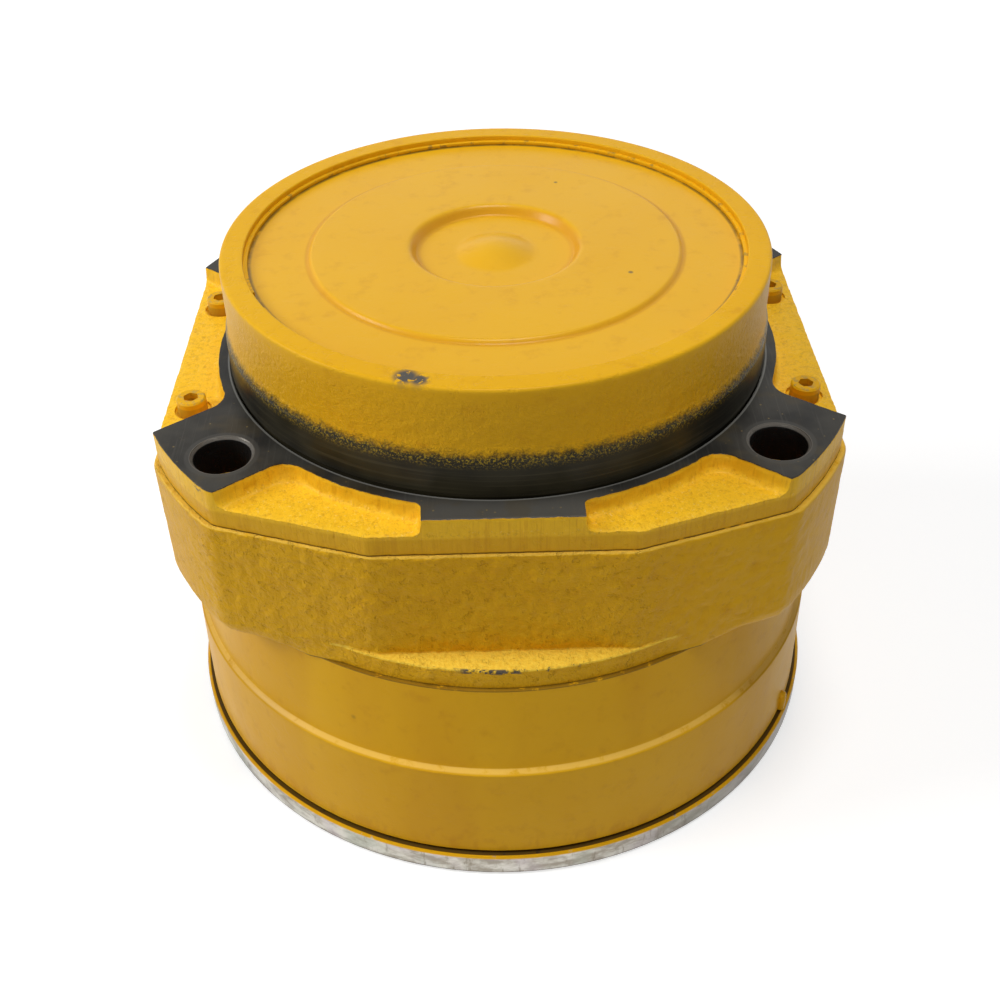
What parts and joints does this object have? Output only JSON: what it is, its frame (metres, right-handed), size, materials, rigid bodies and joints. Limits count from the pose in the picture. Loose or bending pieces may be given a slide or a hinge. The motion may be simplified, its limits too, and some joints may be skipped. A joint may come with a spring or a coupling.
{
  "type": "hydraulic drive motor",
  "caption": "Radial piston hydraulic drive motor with a four-eared mounting flange, a parking brake in its cap and an output hub under it.",
  "frame": {"origin": "centre of the output hub's lower face, on the hub's axis", "axes": "+Z along the hub's axis, up towards the brake cap; +X towards one pair of plate screws; the oil ports face +Y"},
  "size_m": [0.321, 0.321, 0.241],
  "materials": {
    "hub_steel": "bare turned steel, yellow spray on the upper edge",
    "housing_paint": "smooth enamel",
    "casting_paint": "enamel over rough casting",
    "plate_paint": "enamel in the pockets, black machined lands",
    "screw_paint": "enamel over socket screws",
    "bolt_steel": "blackened",
    "cam_steel": "ground",
    "dowel_steel": "ground",
    "block_iron": "machined",
    "piston_steel": "ground",
    "roller_steel": "ground",
    "bearing_steel": "ground",
    "cage_steel": "pressed",
    "nut_steel": "blackened",
    "seal_iron": "lapped",
    "seal_rubber": "black",
    "distributor_iron": "lapped",
    "distributor_seal": "black",
    "spring_steel": "oiled",
    "cap_paint": "enamel above, black machined pilot below",
    "shaft_steel": "ground",
    "disc_steel": "ground",
    "lining": "sintered lining",
    "brake_piston_steel": "ground",
    "cover_paint": "smooth enamel",
    "ring_paint": "enamel over a spring ring"
  },
  "bodies": {
    "housing": {"bearing_housing": "housing_paint", "motor_casting": "casting_paint", "flange_plate": "plate_paint", "plate_screws": "screw_paint", "body_bolts": "bolt_steel", "cam_ring": "cam_steel", "cam_dowels": "dowel_steel", "lower_bearing_cup": "bearing_steel", "upper_bearing_cup": "bearing_steel", "housing_seal_ring": "seal_iron", "housing_seal_rubber": "seal_rubber", "flow_distributor": "distributor_iron", "distributor_seals": "distributor_seal", "distributor_spring": "spring_steel", "brake_housing": "cap_paint", "steel_discs": "disc_steel", "brake_spring": "spring_steel", "spring_stop_ring": "spring_steel", "pressed_cover": "cover_paint", "cover_retaining_ring": "ring_paint", "housing_o_ring": "seal_rubber", "brake_o_ring": "seal_rubber"},
    "hub": {"output_hub": "hub_steel", "lower_bearing_cone": "bearing_steel", "upper_bearing_cone": "bearing_steel", "lock_ring": "nut_steel", "bearing_nut": "nut_steel", "hub_seal_ring": "seal_iron", "hub_seal_rubber": "seal_rubber", "cylinder_block": "block_iron", "pistons": "piston_steel", "piston_rollers": "roller_steel", "brake_shaft": "shaft_steel", "friction_discs": "lining"},
    "lower_roller_set": {"lower_bearing_rollers": "bearing_steel", "lower_bearing_cage": "cage_steel"},
    "upper_roller_set": {"upper_bearing_rollers": "bearing_steel", "upper_bearing_cage": "cage_steel"},
    "brake": {"brake_piston": "brake_piston_steel", "piston_seals": "seal_rubber"}
  },
  "joints": [
    {"name": "hub_spin", "type": "hinge", "parent": "housing", "child": "hub", "pos_m": [0, 0, 0], "axis": [0, 0, 1], "continuous": true},
    {"name": "lower_rollers_orbit", "type": "hinge", "parent": "housing", "child": "lower_roller_set", "pos_m": [0, 0, 0.0515], "axis": [0, 0, 1], "continuous": true},
    {"name": "upper_rollers_orbit", "type": "hinge", "parent": "housing", "child": "upper_roller_set", "pos_m": [0, 0, 0.0805], "axis": [0, 0, 1], "continuous": true},
    {"name": "brake_release", "type": "slide", "parent": "housing", "child": "brake", "axis": [0, 0, 1], "range_m": [0, 0.002], "deforming": ["brake_spring"]}
  ],
  "couplings": [
    {"joint": "lower_rollers_orbit", "follows": "hub_spin", "ratio": 0.46},
    {"joint": "upper_rollers_orbit", "follows": "hub_spin", "ratio": 0.46}
  ]
}
